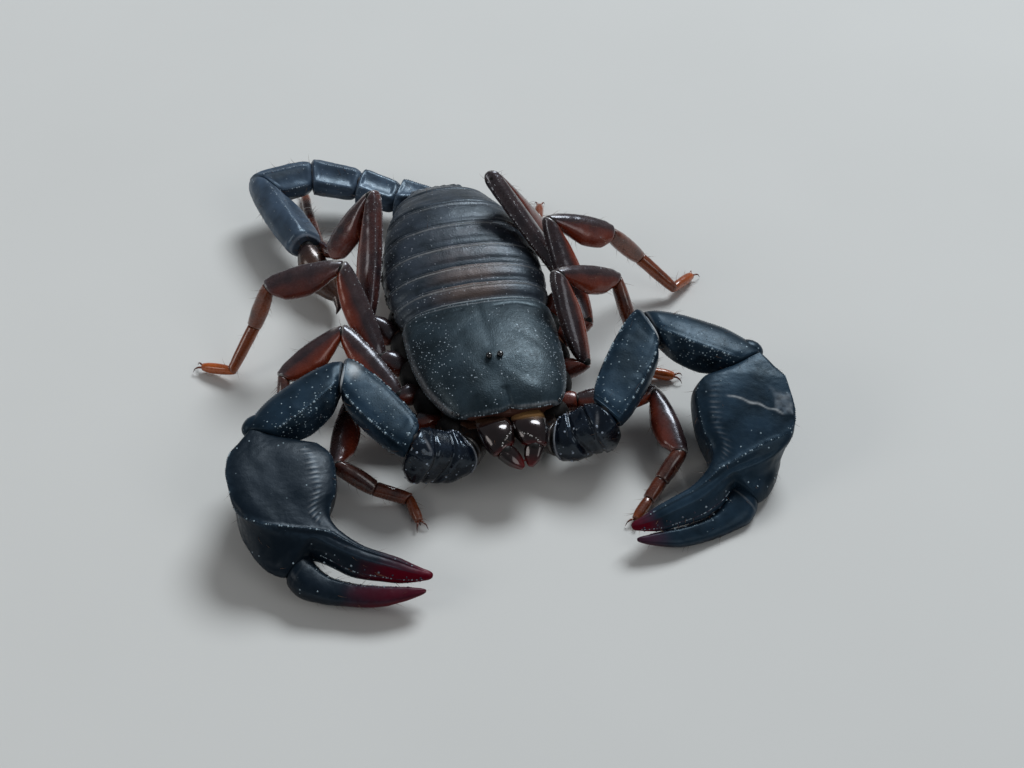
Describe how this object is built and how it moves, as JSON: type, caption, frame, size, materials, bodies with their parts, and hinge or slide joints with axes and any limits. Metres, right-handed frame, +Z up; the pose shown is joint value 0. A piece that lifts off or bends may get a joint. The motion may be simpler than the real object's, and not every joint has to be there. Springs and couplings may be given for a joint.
{
  "type": "scorpion figure",
  "caption": "Life-size still figure of a small dark wood scorpion at rest, broad claws held forward and thin tail curled flat to one side.",
  "frame": {"origin": "on the floor, at the middle of the small flat under the breastplate between the second legs", "axes": "+Z up, -Y towards the head, +X to the animal's left"},
  "size_m": [0.0275, 0.0299, 0.0068],
  "materials": {
    "shell": "granulated, satin",
    "plates": "satin",
    "claws": "satin",
    "legs": "smooth, satin",
    "feet": "smooth, satin",
    "jaws": "polished",
    "eyes": "polished",
    "belly": "satin",
    "sting": "smooth, satin"
  },
  "bodies": {
    "root": {"carapace": "shell", "eye_left": "eyes", "eye_right": "eyes", "tergite_1": "plates", "tergite_2": "plates", "tergite_3": "plates", "tergite_4": "plates", "tergite_5": "plates", "tergite_6": "plates", "tergite_7": "plates", "venter": "belly", "leg_r1_thigh": "legs", "leg_r1_knee": "legs", "leg_r1_foot": "feet", "leg_r2_thigh": "legs", "leg_r2_knee": "legs", "leg_r2_foot": "feet", "leg_r3_thigh": "legs", "leg_r3_knee": "legs", "leg_r3_foot": "feet", "leg_r4_thigh": "legs", "leg_r4_knee": "legs", "leg_r4_foot": "feet", "leg_l1_thigh": "legs", "leg_l1_knee": "legs", "leg_l1_foot": "feet", "leg_l2_thigh": "legs", "leg_l2_knee": "legs", "leg_l2_foot": "feet", "leg_l3_thigh": "legs", "leg_l3_knee": "legs", "leg_l3_foot": "feet", "leg_l4_thigh": "legs", "leg_l4_knee": "legs", "leg_l4_foot": "feet", "arm_right_hip": "claws", "arm_right_thigh": "claws", "arm_right_shin": "claws", "arm_right_hand": "claws", "arm_right_thumb": "claws", "arm_left_hip": "claws", "arm_left_thigh": "claws", "arm_left_shin": "claws", "arm_left_hand": "claws", "arm_left_thumb": "claws", "jaw_left": "jaws", "jaw_left_finger": "jaws", "jaw_right": "jaws", "jaw_right_finger": "jaws", "underside": "belly", "comb_left": "belly", "comb_right": "belly", "tail_1": "plates", "tail_2": "plates", "tail_3": "plates", "tail_4": "plates", "tail_5": "plates", "sting": "sting"}
  },
  "joints": []
}
